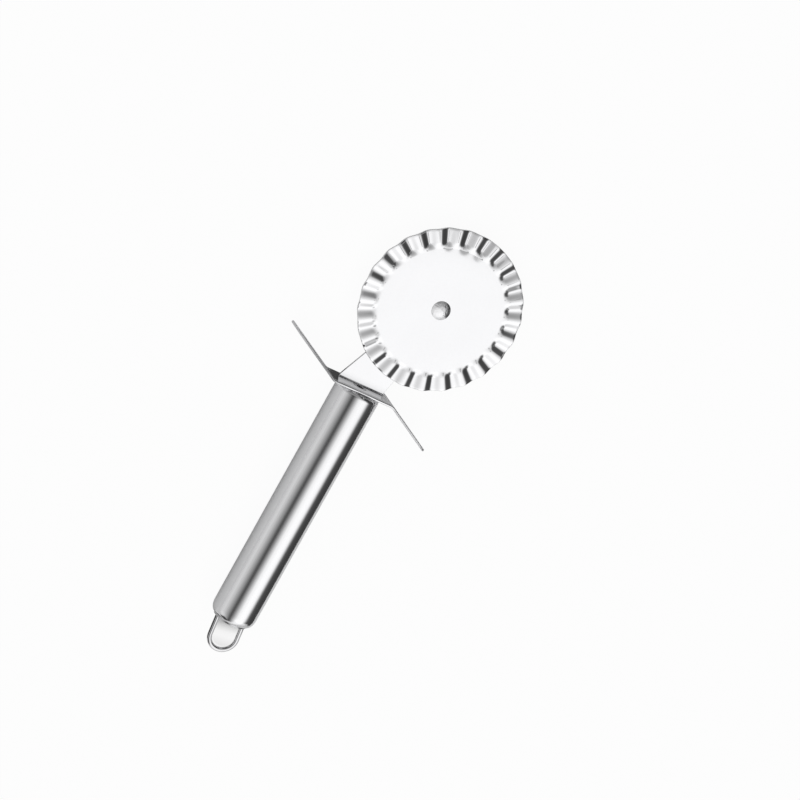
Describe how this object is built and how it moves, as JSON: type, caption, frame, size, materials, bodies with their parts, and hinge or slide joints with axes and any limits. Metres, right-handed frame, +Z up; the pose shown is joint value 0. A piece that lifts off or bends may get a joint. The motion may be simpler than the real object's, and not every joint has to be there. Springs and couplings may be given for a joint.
{
  "type": "pizza wheel",
  "caption": "Hand-held pizza and pastry wheel: fluted disc spinning on a rivet, bent sheet arm with finger guards, round tube handle and a wire hanging loop.",
  "frame": {"origin": "on the handle's axis, halfway along the handle tube", "axes": "+Y along the handle towards the wheel, +X across it towards the side the arm leans to, +Z up along the wheel's axle, with the tool lying on its back"},
  "size_m": [0.0856, 0.1986, 0.019],
  "materials": {
    "brushed_tube": "brushed",
    "polished_sheet": "polished",
    "polished_rivet": "polished",
    "bright_wire": "bright drawn",
    "turned_steel": "turned"
  },
  "bodies": {
    "tool": {"handle_tube": "brushed_tube", "top_plug": "turned_steel", "end_plug": "turned_steel", "hanging_loop": "bright_wire", "head_bracket": "polished_sheet", "bracket_screw": "turned_steel", "axle_rivet": "polished_rivet", "spacer_washer": "turned_steel"},
    "wheel": {"cutting_wheel": "polished_sheet"}
  },
  "joints": [
    {"name": "wheel_spin", "type": "hinge", "parent": "tool", "child": "wheel", "pos_m": [0.0149, 0.096, -0.0022], "axis": [0, 0, 1], "continuous": true}
  ]
}
